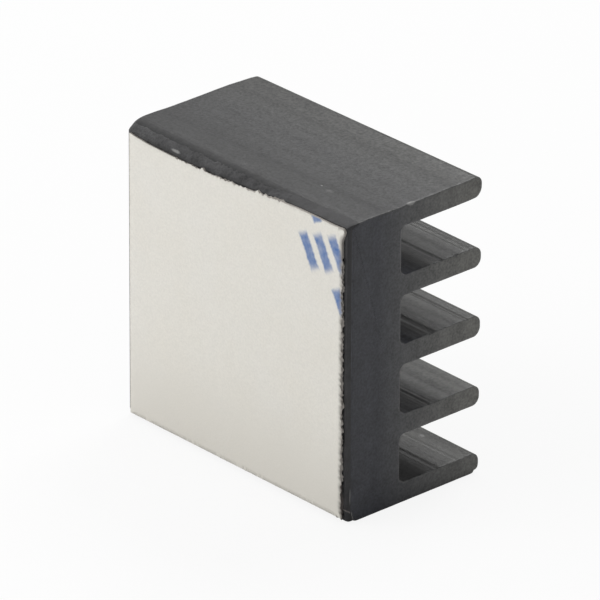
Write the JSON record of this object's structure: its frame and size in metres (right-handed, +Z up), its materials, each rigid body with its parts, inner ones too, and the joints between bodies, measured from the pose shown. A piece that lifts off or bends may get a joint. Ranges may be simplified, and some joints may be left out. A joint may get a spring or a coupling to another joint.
{
  "type": "heat sink",
  "caption": "Small black anodised aluminium heat sink: parallel round-tipped fins on a flat base, backed with thermal adhesive tape under a paper release liner.",
  "frame": {"origin": "centre of the bounding box's bottom, in the plane that the outer fin stands on", "axes": "+X along the extrusion to a sawn end, +Y from the taped base to the fin tips, +Z up across the fins"},
  "size_m": [0.009, 0.005, 0.009],
  "materials": {
    "anodised_metal": "black anodised extrusion, satin, with fine die lines and sawn ends",
    "adhesive_tape": "matt dark adhesive film, knife-cut edge",
    "liner_paper": "matt off-white release paper with a trace of blue print"
  },
  "bodies": {
    "root": {"sink_body": "anodised_metal", "thermal_tape": "adhesive_tape", "release_liner": "liner_paper"}
  },
  "joints": []
}
